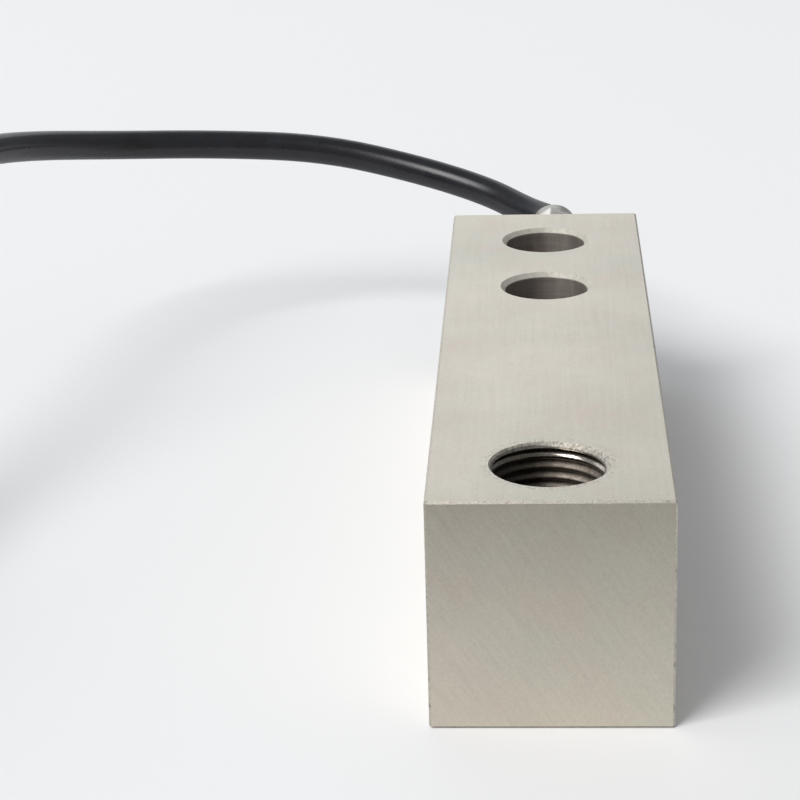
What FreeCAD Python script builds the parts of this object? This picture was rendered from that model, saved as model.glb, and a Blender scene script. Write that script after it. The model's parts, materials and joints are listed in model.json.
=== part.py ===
"""Single-ended shear-beam load cell with its cable, in millimetres.

The origin is on the underside, at the middle of the beam. Y runs along the beam from the load end
to the cable end, X is across it and Z is up. The load hole is at the -Y end.
"""

import FreeCAD
import Part

import math
import os

V = FreeCAD.Vector
ALONG = V(0, 1, 0)
ACROSS = V(1, 0, 0)
UP = V(0, 0, 1)
SQUARE_CORNERS = 1
parallel_limit = 0.01

# Beam: a square bar, with every hole for the load and the bolts upright on its middle plane
beam_width = 31.75
beam_height = 31.75
edge_break = 0.3
load_setback = 12.7
load_span = 76.2
mount_pitch = 25.4
rear_setback = 15.875
thread_radius = 8.0
thread_pitch = 1.5
thread_depth_per_pitch = 0.5413
mount_hole_radius = 6.5
mount_hole_chamfer = 0.75

# Gauge pockets: two blind bores that leave a thin upright web between them
pocket_radius = 11.0
web_thickness = 5.5
cover_radius = 12.4
cover_thickness = 1.2
cover_sunk = 0.2
cover_fit = 0.1
cover_edge = 0.2
web_hole_radius = 1.2
web_hole_along = 8.3

# Wire way: a long bore beside the bolt holes and a cross bore into the gland chamber, both plugged
passage_radius = 1.35
passage_x = 10.5
cross_radius = 1.5
cross_floor = 0.1
plug_length = 3.0
plug_sunk = 0.3

# Cable gland, screwed into the rear face above the middle of the beam
gland_x = 1.7
gland_drop = 7.35
gland_wall = 1.95
hex_sides = 6
hex_flats = 9.0
hex_turn = 8.0
gland_thread_radius = 4.0
gland_fit = 0.05
gland_seat_room = 0.8
gland_washer_thickness = 0.6
gland_washer_radius = 4.9
gland_flange = 3.4
gland_reach = 18.0
neck_radius = 3.45
nut_gap = 0.6
nut_wall = 1.5
nut_chamfer = 0.7
nut_hex_length = 7.9
dome_radius = 4.15
dome_rounding = 0.9
chamber_radius = 3.2
seal_length = 2.4
slip_washer_thickness = 0.6
bore_clearance = 0.15
seal_clearance = 0.02

# Strain gauges, terminals and trim board, bonded to the faces of the web
film_length = 12.0
film_height = 8.0
film_thickness = 0.12
film_corner = 0.8
grid_thickness = 0.06
grid_offset = 2.6
grid_legs = 8
grid_leg_length = 3.0
grid_leg_width = 0.22
grid_leg_pitch = 0.42
grid_slant = 45.0
tab_size = 0.9
terminal_length = 9.0
terminal_height = 2.6
terminal_thickness = 0.8
terminal_drop = 6.8
terminal_pads = 4
pad_pitch = 2.2
pad_length = 1.4
pad_height = 2.0
pad_thickness = 0.1
board_thickness = 1.0
board_gap = 0.6
board_low = 5.0
chip_length = 2.0
chip_height = 1.25
chip_thickness = 0.55
chip_spots = [(-5.4, 6.9), (-2.7, 6.9), (3.6, 7.2)]

# Hook-up wires in the pockets and the four cores in the wire way
wire_sides = 6
fine_wire_radius = 0.15
lead_rise = 1.5
lead_foot = 0.5
jumper_rise = 2.2
jumper_foot = -0.5
jumper_head = 0.5
link_rise = 2.6
link_step = 0.5
link_pitch = 0.45
link_first_pad = 5.4
link_pad_pitch = 0.8
link_head = 0.7
core_radius = 0.45
core_spread = 0.475
core_pad_along = 1.0
jacket_depth = 2.6

# Cable: seen in the air from the gland to the left, then wound in a tied coil on the floor
cable_diameter = 5.4
arc_share = 0.45
cable_straight = 6.0
cable_bends = [
    V(-1.8, 100.1, 21.6),
    V(-11.3, 108.4, 24.25),
    V(-26.3, 114.2, 27.6),
    V(-44.4, 115.5, 31.4),
    V(-63.9, 111.1, 33.5),
    V(-81.4, 99.4, 36.5),
    V(-93.5, 82.3, 41.0),
    V(-99.0, 62.0, 45.2),
    V(-102.0, 42.0, 46.0),
    V(-104.5, 23.0, 41.5),
    V(-106.0, 6.0, 33.5),
    V(-106.5, -9.5, 24.5),
    V(-106.3, -26.0, 18.9),
]
tail_route = [
    V(-186.7, -26.0, 2.8),
    V(-187.5, -10.0, 2.8),
    V(-183.0, 5.0, 2.85),
    V(-173.5, 17.0, 3.05),
    V(-160.0, 25.0, 3.05),
]
coil_mean_radius = 31.6
coil_layers = 4
coil_turns_per_layer = 3.1875
coil_slack = 0.2
coil_edge_cut = 1.8
tie_thickness = 1.0
tie_width = 2.6
tie_corner = 2.6
tie_angle = -115.0
tie_head_length = 4.6
tie_head_width = 4.2
tie_head_height = 4.2
tie_head_edge = 0.5

# Free end: a shrink sleeve and five flying leads with tinned tips, in steps along, beside and above
sleeve_wall = 0.35
sleeve_grip = 7.0
sleeve_nose = 2.0
sleeve_nose_radius = 2.35
sleeve_nose_bore = 1.95
lead_radius = 0.6
tip_radius = 0.35
tip_length = 6.0
lead_routes = {
    "lead_red": [(0, 1.0, 3.3), (5, 1.0, 3.3), (19, 6.6, 0.6), (34, 13.5, 0.6)],
    "lead_black": [(0, 0.62, 2.15), (5, 0.62, 2.15), (18, 3.2, 0.6), (37, 7.6, 0.6)],
    "lead_white": [(0, 0, 4.05), (5.5, 0, 4.05), (22, 0.8, 0.6), (40, 0.6, 0.6)],
    "lead_green": [(0, -0.62, 2.15), (5, -0.62, 2.15), (18, -3.0, 0.6), (36, -8.2, 0.6)],
    "lead_shield": [(0, -1.0, 3.3), (5, -1.0, 3.3), (18, -6.6, 0.6), (31, -13.5, 0.6)],
}

# Places worked out from the sizes above
beam_length = load_setback + load_span + mount_pitch + rear_setback
front_y = -beam_length / 2
rear_y = beam_length / 2
load_y = front_y + load_setback
mount_ys = [load_y + load_span, load_y + load_span + mount_pitch]
load_bore_radius = thread_radius - thread_depth_per_pitch * thread_pitch
gauge_y = load_y + load_span / 2
gauge_z = beam_height / 2
web_face = web_thickness / 2
side_x = beam_width / 2
gland_z = beam_height - gland_drop
cover_recess = cover_thickness + cover_sunk
cable_radius = cable_diameter / 2
chamber_depth = rear_setback - mount_hole_radius - gland_wall
spigot_length = chamber_depth - cross_floor - 2 * cross_radius - gland_seat_room
cross_y = rear_y - chamber_depth + cross_floor + cross_radius
hex_corner_radius = hex_flats / 2 / math.cos(math.pi / hex_sides)
flange_end = gland_washer_thickness + gland_flange
neck_end = gland_reach - nut_wall - slip_washer_thickness - seal_length
board_top = web_face + board_thickness
pad_top = web_face + terminal_thickness + pad_thickness
coil_reach = coil_mean_radius + coil_turns_per_layer * cable_diameter / 2
coil_outer_radius = coil_reach + cable_radius + coil_slack
coil_inner_radius = 2 * coil_mean_radius - coil_outer_radius
coil_height = coil_layers * cable_diameter + coil_slack
cable_exit = V(gland_x, rear_y + gland_reach, gland_z)
cable_route = [cable_exit, cable_exit + ALONG * cable_straight] + cable_bends
coil_entry = cable_route[-1]
coil_centre = V(coil_entry.x - coil_reach, coil_entry.y, 0)
tail_end = tail_route[-1]
tail_heading = (tail_end - tail_route[-2]).normalize()


def arc_radii(route):
    """The largest arcs that the runs beside each inner point of a route allow."""
    radii = []
    for before, corner, after in zip(route, route[1:], route[2:]):
        into = corner - before
        out = after - corner
        half_turn = into.getAngle(out) / 2
        radii.append(arc_share * min(into.Length, out.Length) / math.tan(half_turn))
    return radii


def bent_path(route, bends):
    """Straight runs joined by tangent arcs, with one bend radius for each inner point of the route."""
    edges = []
    run_start = route[0]
    for before, corner, after, bend in zip(route, route[1:], route[2:], bends):
        into = (corner - before).normalize()
        out = (after - corner).normalize()
        half_turn = into.getAngle(out) / 2
        reach = bend * math.tan(half_turn)
        arc_start = corner - into * reach
        arc_end = corner + out * reach
        inward = (out - into).normalize()
        arc_middle = corner + inward * (bend / math.cos(half_turn) - bend)
        edges.append(Part.LineSegment(run_start, arc_start).toShape())
        edges.append(Part.Arc(arc_start, arc_middle, arc_end).toShape())
        run_start = arc_end
    edges.append(Part.LineSegment(run_start, route[-1]).toShape())
    return Part.Wire(edges)


def tube(route, radius, bends):
    """A round bar along a bent path."""
    section = Part.Wire([Part.Circle(route[0], route[1] - route[0], radius).toShape()])
    return bent_path(route, bends).makePipeShell([section], True, False)


def turned(profile, foot, axis):
    """A turned piece: (radius, distance) corners revolved about a level axis that starts at foot."""
    corners = [foot + UP * radius + axis * distance for radius, distance in profile]
    face = Part.Face(Part.makePolygon(corners + corners[:1]))
    return face.revolve(foot, axis, 360)


def edges_along(shape, direction):
    """The straight edges of a block that run in one direction."""
    chosen = []
    for edge in shape.Edges:
        if edge.tangentAt(edge.FirstParameter).cross(direction).Length < parallel_limit:
            chosen.append(edge)
    return chosen


def on_gland_axis(distance):
    """The point on the gland's axis at a distance behind the rear face."""
    return V(gland_x, rear_y + distance, gland_z)


def hexagon(start, length):
    """A hexagonal bar on the gland's axis, turned so that one corner stands beside the top."""
    foot = on_gland_axis(start)
    corners = []
    for step in range(hex_sides):
        angle = math.radians(hex_turn) + 2 * math.pi * step / hex_sides
        corners.append(foot + V(-math.sin(angle), 0, math.cos(angle)) * hex_corner_radius)
    return Part.Face(Part.makePolygon(corners + corners[:1])).extrude(ALONG * length)


def hole_tools(y, radius, chamfer):
    """Cutters for an upright through hole with the same chamfer at the top and the bottom."""
    bore = Part.makeCylinder(radius, beam_height, V(0, y, 0))
    top = Part.makeCone(radius, radius + chamfer, chamfer, V(0, y, beam_height - chamfer))
    bottom = Part.makeCone(radius + chamfer, radius, chamfer, V(0, y, 0))
    return [bore, top, bottom]


def pocket_tools(side):
    """Cutters for one gauge pocket and the seat of its cover, from the +X or -X face."""
    mouth = V(side * side_x, gauge_y, gauge_z)
    pocket = Part.makeCylinder(pocket_radius, side_x - web_face, mouth, ACROSS * -side)
    seat = Part.makeCylinder(cover_radius + cover_fit, cover_recess, mouth, ACROSS * -side)
    return [pocket, seat]


def make_beam():
    bar = Part.makeBox(beam_width, beam_length, beam_height, V(-side_x, front_y, 0))
    bar = bar.makeChamfer(edge_break, bar.Edges)
    tools = hole_tools(load_y, load_bore_radius, thread_radius - load_bore_radius)
    for y in mount_ys:
        tools += hole_tools(y, mount_hole_radius, mount_hole_chamfer)
    tools += pocket_tools(1) + pocket_tools(-1)
    web_hole = V(-web_face, gauge_y + web_hole_along, gauge_z)
    tools.append(Part.makeCylinder(web_hole_radius, web_thickness, web_hole, ACROSS))
    gland_bore_depth = spigot_length + gland_fit
    tools.append(Part.makeCylinder(gland_thread_radius, gland_bore_depth, on_gland_axis(0), -ALONG))
    tools.append(Part.makeCylinder(chamber_radius, chamber_depth, on_gland_axis(0), -ALONG))
    long_mouth = V(passage_x, rear_y, gland_z)
    tools.append(Part.makeCylinder(passage_radius, rear_y - gauge_y, long_mouth, -ALONG))
    cross_mouth = V(side_x, cross_y, gland_z)
    tools.append(Part.makeCylinder(cross_radius, side_x - gland_x, cross_mouth, -ACROSS))
    return bar.cut(tools)


def make_cover(side):
    """A disc that closes one gauge pocket, seated on the step round it."""
    seat = V(side * (side_x - cover_recess), gauge_y, gauge_z)
    rim = cover_thickness - cover_edge
    profile = [(0, 0), (cover_radius, 0), (cover_radius, rim), (cover_radius - cover_edge, cover_thickness)]
    return turned(profile + [(0, cover_thickness)], seat, ACROSS * side)


def make_passage_plugs():
    """Pressed pins that close the outer mouths of the long bore and the cross bore."""
    rear_end = V(passage_x, rear_y - plug_sunk, gland_z)
    side_end = V(side_x - plug_sunk, cross_y, gland_z)
    rear_plug = Part.makeCylinder(passage_radius, plug_length, rear_end, -ALONG)
    side_plug = Part.makeCylinder(cross_radius, plug_length, side_end, -ACROSS)
    return Part.makeCompound([rear_plug, side_plug])


def on_web(side, height, along, above):
    """A point in a pocket, by its height over the web and its place beside the gauge's middle."""
    return V(side * (web_face + height), gauge_y + along, gauge_z + above)


def web_slab(side, foot_height, thickness, along, above, length, height):
    """A flat block on the web, centred beside the gauge's middle."""
    low_x = side * (web_face + foot_height) if side > 0 else -(web_face + foot_height + thickness)
    corner = V(low_x, gauge_y + along - length / 2, gauge_z + above - height / 2)
    return Part.makeBox(thickness, length, height, corner)


def make_gauge_film(side):
    """The backing film of one gauge, bonded to the web."""
    film = web_slab(side, 0, film_thickness, 0, 0, film_length, film_height)
    return film.makeFillet(film_corner, edges_along(film, ACROSS))


def grid_tab_offset(leg):
    """Where a grid's first or last leg ends in its tab, along and across the legs."""
    middle_leg = (grid_legs - 1) / 2
    return V(0, -(grid_leg_length + tab_size) / 2, (leg - middle_leg) * grid_leg_pitch)


def grid_place(side, slant_side):
    """The place of a grid on its half of the film, with its legs at plus or minus 45 degrees."""
    turn = FreeCAD.Rotation(ACROSS, 90 + slant_side * grid_slant)
    return FreeCAD.Placement(on_web(side, film_thickness, slant_side * grid_offset, 0), turn)


def make_gauge_grid(side):
    """Two foil grids at plus and minus 45 degrees: legs laid to and fro, with a tab at each end."""
    grids = []
    foil_low = 0 if side > 0 else -grid_thickness
    turn_width = grid_leg_pitch + grid_leg_width
    for slant_side in (-1, 1):
        strips = []
        for leg in range(grid_legs):
            across = (leg - (grid_legs - 1) / 2) * grid_leg_pitch - grid_leg_width / 2
            foot = V(foil_low, -grid_leg_length / 2, across)
            strips.append(Part.makeBox(grid_thickness, grid_leg_length, grid_leg_width, foot))
            if leg < grid_legs - 1:
                end = grid_leg_length / 2 - grid_leg_width if leg % 2 == 0 else -grid_leg_length / 2
                foot = V(foil_low, end, across)
                strips.append(Part.makeBox(grid_thickness, grid_leg_width, turn_width, foot))
        for leg in (0, grid_legs - 1):
            foot = grid_tab_offset(leg) - V(-foil_low, tab_size / 2, tab_size / 2)
            strips.append(Part.makeBox(grid_thickness, tab_size, tab_size, foot))
        foil = strips[0].fuse(strips[1:]).removeSplitter()
        foil.Placement = grid_place(side, slant_side)
        grids.append(foil)
    return Part.makeCompound(grids)


def pad_along(pad):
    """Where a terminal pad lies beside the gauge's middle."""
    return (pad - (terminal_pads - 1) / 2) * pad_pitch


def make_terminal(side):
    """A bonded strip with four raised solder pads below the gauge."""
    strip = web_slab(side, 0, terminal_thickness, 0, -terminal_drop, terminal_length, terminal_height)
    pads = []
    for pad in range(terminal_pads):
        along = pad_along(pad)
        pads.append(
            web_slab(side, terminal_thickness, pad_thickness, along, -terminal_drop, pad_length, pad_height)
        )
    return strip.fuse(pads).removeSplitter()


def make_trim_board():
    """A board shaped to the upper part of the right pocket."""
    foot = on_web(1, 0, 0, 0)
    disc = Part.makeCylinder(pocket_radius - board_gap, board_thickness, foot, ACROSS)
    corner = foot + V(0, -pocket_radius, board_low)
    return disc.common(Part.makeBox(board_thickness, 2 * pocket_radius, pocket_radius, corner))


def make_trim_resistors():
    """Chips that balance the bridge, on the trim board."""
    chips = []
    for along, above in chip_spots:
        chips.append(web_slab(1, board_thickness, chip_thickness, along, above, chip_length, chip_height))
    return Part.makeCompound(chips)


def thin_wire(route, radius):
    """A hook-up wire with square corners, flat-sided to keep its facets few."""
    rim = Part.Circle(route[0], route[1] - route[0], radius)
    corners = [rim.value(2 * math.pi * step / wire_sides) for step in range(wire_sides)]
    section = Part.makePolygon(corners + corners[:1])
    return Part.makePolygon(route).makePipeShell([section], True, False, SQUARE_CORNERS)


def make_gauge_leads(side):
    """Fine wires from the tabs of the grids down to the terminal pads."""
    tabs = []
    for slant_side in (-1, 1):
        for leg in (0, grid_legs - 1):
            tabs.append(grid_place(side, slant_side).multVec(grid_tab_offset(leg)))
    tabs.sort(key=lambda spot: spot.y)
    wires = []
    for pad, tab in enumerate(tabs):
        foil_top = V(side * grid_thickness, 0, 0)
        foot = on_web(side, pad_top - web_face, pad_along(pad), lead_foot - terminal_drop)
        rise_x = side * (web_face + film_thickness + lead_rise)
        route = [tab + foil_top, V(rise_x, tab.y, tab.z), V(rise_x, foot.y, foot.z), foot]
        wires.append(thin_wire(route, fine_wire_radius))
    return Part.makeCompound(wires)


def make_board_jumpers():
    """Wires from the right terminal over its gauge to the trim board."""
    wires = []
    for pad in range(terminal_pads):
        along = pad_along(pad)
        low = jumper_foot - terminal_drop
        high = board_low + jumper_head
        pad_height_over_web = pad_top - web_face
        route = [
            on_web(1, pad_height_over_web, along, low),
            on_web(1, pad_height_over_web + jumper_rise, along, low),
            on_web(1, pad_height_over_web + jumper_rise, along, high),
            on_web(1, board_thickness, along, high),
        ]
        wires.append(thin_wire(route, fine_wire_radius))
    return Part.makeCompound(wires)


def make_link_wires():
    """Wires from the left terminal through the hole in the web to the trim board."""
    wires = []
    for pad in range(terminal_pads):
        along = pad_along(pad)
        low = jumper_foot - terminal_drop
        rise = link_rise + link_step * pad
        above = (pad - (terminal_pads - 1) / 2) * link_pitch
        board_along = link_first_pad + link_pad_pitch * pad
        board_above = board_low + link_head
        route = [
            on_web(-1, pad_top - web_face, along, low),
            on_web(-1, rise, along, low),
            on_web(-1, rise, web_hole_along, above),
            on_web(1, rise, web_hole_along, above),
            on_web(1, rise, board_along, board_above),
            on_web(1, board_thickness, board_along, board_above),
        ]
        wires.append(thin_wire(route, fine_wire_radius))
    return Part.makeCompound(wires)


def make_core(across, above):
    """One cable core from the jacket's end, round the cross bore and the long bore, to the trim board."""
    shift = across * core_spread
    z = gland_z + above * core_spread
    pads_y = gauge_y + core_pad_along
    route = [
        V(gland_x + shift, rear_y - jacket_depth, z),
        V(gland_x + shift, cross_y + shift, z),
        V(passage_x + shift, cross_y + shift, z),
        V(passage_x + shift, pads_y - shift, z),
        V(board_top, pads_y - shift, z),
    ]
    return thin_wire(route, core_radius)


def make_gland_washer():
    """The flat sealing ring between the gland and the beam."""
    inner = gland_thread_radius + gland_fit
    profile = [(inner, 0), (gland_washer_radius, 0), (gland_washer_radius, gland_washer_thickness)]
    return turned(profile + [(inner, gland_washer_thickness)], on_gland_axis(0), ALONG)


def make_gland_body():
    """The part of the gland that screws into the beam: spigot, hexagon and a neck for the nut."""
    bore = cable_radius + bore_clearance
    spigot = gland_thread_radius - gland_fit
    profile = [
        (bore, -spigot_length), (spigot, -spigot_length), (spigot, gland_washer_thickness),
        (neck_radius, gland_washer_thickness), (neck_radius, neck_end), (bore, neck_end),
    ]
    stem = turned(profile, on_gland_axis(0), ALONG)
    flange = hexagon(gland_washer_thickness, gland_flange)
    hollow = Part.makeCylinder(bore, flange_end, on_gland_axis(0), ALONG)
    return stem.fuse(flange.cut(hollow)).removeSplitter()


def make_neck_ring(inner, start, thickness):
    """A ring round the cable, as wide as the neck that it sits against."""
    end = start + thickness
    profile = [(inner, start), (neck_radius, start), (neck_radius, end), (inner, end)]
    return turned(profile, on_gland_axis(0), ALONG)


def make_gland_nut():
    """The nut that squeezes the seal: a hexagon, chamfered at both ends, and a round domed end."""
    start = flange_end + nut_gap
    length = gland_reach - start
    rim = hex_corner_radius - nut_chamfer
    profile = [
        (0, 0), (rim, 0), (hex_corner_radius, nut_chamfer),
        (hex_corner_radius, nut_hex_length - nut_chamfer), (rim, nut_hex_length), (0, nut_hex_length),
    ]
    foot = on_gland_axis(start)
    flats = hexagon(start, nut_hex_length).common(turned(profile, foot, ALONG))
    dome = Part.makeCylinder(dome_radius, length, foot, ALONG)
    dome_rim = max(dome.Edges, key=lambda edge: edge.CenterOfMass.y)
    dome = dome.makeFillet(dome_rounding, [dome_rim])
    cavity = Part.makeCylinder(neck_radius + gland_fit, length - nut_wall, foot, ALONG)
    mouth = Part.makeCylinder(cable_radius + bore_clearance, length, foot, ALONG)
    return flats.fuse(dome).cut([cavity, mouth])


def make_cable_entry():
    """The cable's jacket where the gland holds it."""
    return Part.makeCylinder(cable_radius, jacket_depth + gland_reach, on_gland_axis(-jacket_depth), ALONG)


def make_coil_tie():
    """A plastic tie pulled tight round the coil, with its head on top."""
    inner_low = coil_centre + V(coil_inner_radius, -tie_width / 2, tie_thickness)
    section = coil_outer_radius - coil_inner_radius
    room = Part.makeBox(section, tie_width, coil_height - tie_thickness, inner_low)
    outer_low = inner_low - V(tie_thickness, 0, tie_thickness)
    band = Part.makeBox(section + 2 * tie_thickness, tie_width, coil_height + tie_thickness, outer_low)
    band = band.makeFillet(tie_corner, edges_along(band, ALONG))
    room = room.makeFillet(tie_corner - tie_thickness, edges_along(room, ALONG))
    head_low = coil_centre + V(coil_mean_radius - tie_head_length / 2, -tie_head_width / 2, coil_height)
    head = Part.makeBox(tie_head_length, tie_head_width, tie_head_height, head_low)
    upper = [edge for edge in head.Edges if edge.CenterOfMass.z > coil_height + tie_thickness]
    head = head.makeFillet(tie_head_edge, upper)
    tie = band.cut(room).fuse(head).removeSplitter()
    tie.rotate(coil_centre, UP, tie_angle)
    return tie


def make_coil_ring():
    """The room that the wound coil takes."""
    ring = Part.makeCylinder(coil_outer_radius, coil_height, coil_centre)
    return ring.cut(Part.makeCylinder(coil_inner_radius, coil_height, coil_centre))


def make_cable_coil(ring, tie):
    """The outer shape of the tied coil, with the groove that its tie pulls into it."""
    rims = [edge for edge in ring.Edges if isinstance(edge.Curve, Part.Circle)]
    return ring.makeChamfer(coil_edge_cut, rims).cut(tie)


def make_cable_tube(route, ring):
    """A free stretch of the cable, ended where it goes into the coil."""
    radii = arc_radii(route)
    length = bent_path(route, radii).Length
    stretch = tube(route, cable_radius, radii)
    expected = math.pi * cable_radius**2 * length
    print("radii", [round(radius, 1) for radius in radii], "length", round(length, 1))
    print("volume over section times length", round(stretch.Volume / expected, 5))
    return max(stretch.cut(ring).Solids, key=lambda solid: solid.Volume)


def beside_tail(along, beside, height):
    """A point past the cable's free end, by its distance along, beside and over the floor."""
    left = UP.cross(V(tail_heading.x, tail_heading.y, 0)).normalize()
    ahead = left.cross(UP)
    return V(tail_end.x, tail_end.y, 0) + ahead * along + left * beside + UP * height


def make_end_sleeve():
    """Shrink sleeve over the jacket's end, drawn in round the leads."""
    inner = cable_radius + seal_clearance
    outer = cable_radius + sleeve_wall
    profile = [
        (inner, -sleeve_grip), (outer, -sleeve_grip), (outer, 0),
        (sleeve_nose_radius, sleeve_nose), (sleeve_nose_bore, sleeve_nose),
        (sleeve_nose_bore, 0), (inner, 0),
    ]
    return turned(profile, tail_end, tail_heading)


def make_lead(steps):
    """One insulated flying lead, from the cable's end to its bare tip."""
    route = [beside_tail(*step) for step in steps]
    return tube(route, lead_radius, arc_radii(route))


def make_lead_tips():
    """The bare tinned ends of the flying leads."""
    tips = []
    for steps in lead_routes.values():
        end = beside_tail(*steps[-1])
        heading = end - beside_tail(*steps[-2])
        tips.append(Part.makeCylinder(tip_radius, tip_length, end, heading))
    return Part.makeCompound(tips)


coil_ring = make_coil_ring()
coil_tie = make_coil_tie()
nodes = {
    "beam": make_beam(),
    "gauge_cover_right": make_cover(1),
    "gauge_cover_left": make_cover(-1),
    "passage_plugs": make_passage_plugs(),
    "gauge_film_right": make_gauge_film(1),
    "gauge_film_left": make_gauge_film(-1),
    "gauge_grid_right": make_gauge_grid(1),
    "gauge_grid_left": make_gauge_grid(-1),
    "terminal_right": make_terminal(1),
    "terminal_left": make_terminal(-1),
    "trim_board": make_trim_board(),
    "trim_resistors": make_trim_resistors(),
    "gauge_leads_right": make_gauge_leads(1),
    "gauge_leads_left": make_gauge_leads(-1),
    "board_jumpers": make_board_jumpers(),
    "link_wires": make_link_wires(),
    "core_red": make_core(1, 1),
    "core_black": make_core(1, -1),
    "core_green": make_core(-1, 1),
    "core_white": make_core(-1, -1),
    "gland_washer": make_gland_washer(),
    "gland_body": make_gland_body(),
    "gland_seal": make_neck_ring(cable_radius + seal_clearance, neck_end, seal_length),
    "gland_slip_washer": make_neck_ring(
        cable_radius + bore_clearance, neck_end + seal_length, slip_washer_thickness
    ),
    "gland_nut": make_gland_nut(),
    "cable_entry": make_cable_entry(),
    "cable_run": make_cable_tube(cable_route, coil_ring),
    "cable_coil": make_cable_coil(coil_ring, coil_tie),
    "coil_tie": coil_tie,
    "cable_tail": make_cable_tube(tail_route, coil_ring),
    "end_sleeve": make_end_sleeve(),
    "lead_tips": make_lead_tips(),
}
for lead_name, lead_steps in lead_routes.items():
    nodes[lead_name] = make_lead(lead_steps)

os.makedirs("parts", exist_ok=True)
for node_name, node_shape in nodes.items():
    node_shape.exportStep(f"parts/{node_name}.step")
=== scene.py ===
import bpy
import json
import math
from mathutils import Matrix, Vector


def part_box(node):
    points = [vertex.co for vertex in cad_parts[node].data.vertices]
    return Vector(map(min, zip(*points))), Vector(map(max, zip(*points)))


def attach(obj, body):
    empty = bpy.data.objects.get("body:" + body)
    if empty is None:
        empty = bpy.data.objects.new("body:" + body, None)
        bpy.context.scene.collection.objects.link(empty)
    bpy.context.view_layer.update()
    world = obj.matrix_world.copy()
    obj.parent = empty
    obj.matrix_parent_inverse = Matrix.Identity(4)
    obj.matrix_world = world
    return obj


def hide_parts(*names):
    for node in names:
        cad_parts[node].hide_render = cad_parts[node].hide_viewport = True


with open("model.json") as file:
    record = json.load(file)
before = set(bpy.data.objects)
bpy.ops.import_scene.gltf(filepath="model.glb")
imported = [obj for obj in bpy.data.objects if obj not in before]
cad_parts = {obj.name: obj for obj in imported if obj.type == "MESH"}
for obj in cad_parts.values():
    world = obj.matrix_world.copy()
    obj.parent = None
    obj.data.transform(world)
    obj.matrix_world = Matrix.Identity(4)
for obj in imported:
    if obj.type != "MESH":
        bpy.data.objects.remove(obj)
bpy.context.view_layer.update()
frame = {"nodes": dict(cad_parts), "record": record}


# The beam is one square bar of alloy steel, milled and ground to size, drilled and tapped, and then
# nickel plated to a warm satin grey. Its tapped hole takes the load, its two plain holes the bolts.
scene = bpy.context.scene
nodes = frame["nodes"]
mounts = {mount["name"]: mount for mount in frame["record"]["mounts"]}


def deselect_all():
    bpy.ops.object.select_all(action="DESELECT")


def pick(piece):
    """Makes one piece the only selected object, and the active one."""
    deselect_all()
    piece.select_set(True)
    bpy.context.view_layer.objects.active = piece


def open_edit():
    bpy.ops.object.mode_set(mode="EDIT")


def leave_edit():
    bpy.ops.object.mode_set(mode="OBJECT")


def edit_all(piece):
    """Opens a piece in edit mode with all of its mesh selected."""
    pick(piece)
    open_edit()
    bpy.ops.mesh.select_all(action="SELECT")


def merged_copy(node, name, weld_gap=2e-6, flat_angle=math.radians(0.3)):
    """A copy of a CAD node's mesh with its loose triangles joined, as a piece of its own."""
    piece = bpy.data.objects.new(name, nodes[node].data.copy())
    scene.collection.objects.link(piece)
    pick(piece)
    bpy.ops.mesh.customdata_custom_splitnormals_clear()
    edit_all(piece)
    bpy.ops.mesh.remove_doubles(threshold=weld_gap)
    bpy.ops.mesh.dissolve_limited(angle_limit=flat_angle)
    leave_edit()
    return piece


def apply_all(piece):
    """Applies a piece's modifiers in order."""
    pick(piece)
    for modifier in list(piece.modifiers):
        bpy.ops.object.modifier_apply(modifier=modifier.name)


def smooth(piece, degrees):
    """Shades a piece smooth, with creases at the edges that are sharper than an angle."""
    pick(piece)
    bpy.ops.object.shade_smooth_by_angle(angle=math.radians(degrees))


beam_low, beam_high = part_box("beam")
beam_crease = 34
load_hole = Vector(mounts["load_hole"]["pos_m"])
bolt_holes = [Vector(mounts[name]["pos_m"]) for name in ("bolt_hole_inner", "bolt_hole_outer")]
thread_pitch = 0.0015
thread_crest = mounts["load_hole"]["dims"]["r_mm"] / 1000
thread_root = 0.0079
groove_flank = [
    (0.00700, 0.000745),
    (0.00717, 0.000735),
    (0.007214, 0.000615),
    (0.007289, 0.000495),
    (0.007397, 0.000375),
    (0.00754, 0.000255),
    (0.007733, 0.000125),
    (0.007854, 0.000055),
    (thread_root, 0.00002),
]
groove_profile = [(radius, -half) for radius, half in groove_flank] + groove_flank[::-1]
thread_steps = 64
thread_end_angle = math.radians(225)
thread_end_depth = 0.00055
thread_end = beam_high.z - thread_end_depth
spare_turns = 2
thread_turns = math.ceil((thread_end - beam_low.z) / thread_pitch) + spare_turns

# The thread is cut as a tap does it. The flank above gives radii and half widths of its groove, and the
# whole profile winds up through the bore.
beam = merged_copy("beam", "beam_bar")
deselect_all()
bpy.ops.mesh.primitive_circle_add(
    vertices=len(groove_profile), radius=thread_crest, fill_type="NOTHING"
)
thread_cutter = bpy.context.object
thread_cutter.name = "thread_cutter"
for vertex, (radius, height) in zip(thread_cutter.data.vertices, groove_profile):
    vertex.co = (radius * math.cos(thread_end_angle), radius * math.sin(thread_end_angle), height)
winding = thread_cutter.modifiers.new("winding", "SCREW")
winding.axis = "Z"
winding.screw_offset = thread_pitch
winding.iterations = thread_turns
winding.steps = thread_steps
winding.render_steps = thread_steps
winding.use_merge_vertices = False
apply_all(thread_cutter)
edit_all(thread_cutter)
bpy.ops.mesh.fill_holes(sides=len(groove_profile))
bpy.ops.mesh.normals_make_consistent(inside=False)
leave_edit()
thread_cutter.location = (load_hole.x, load_hole.y, thread_end - thread_turns * thread_pitch)
tapping = beam.modifiers.new("tapping", "BOOLEAN")
tapping.operation = "DIFFERENCE"
tapping.solver = "EXACT"
tapping.object = thread_cutter
apply_all(beam)
bpy.data.objects.remove(thread_cutter)

# The crease angle stays just under the angle at which the bar's corner facets meet its sides.
smooth(beam, beam_crease)


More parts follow.
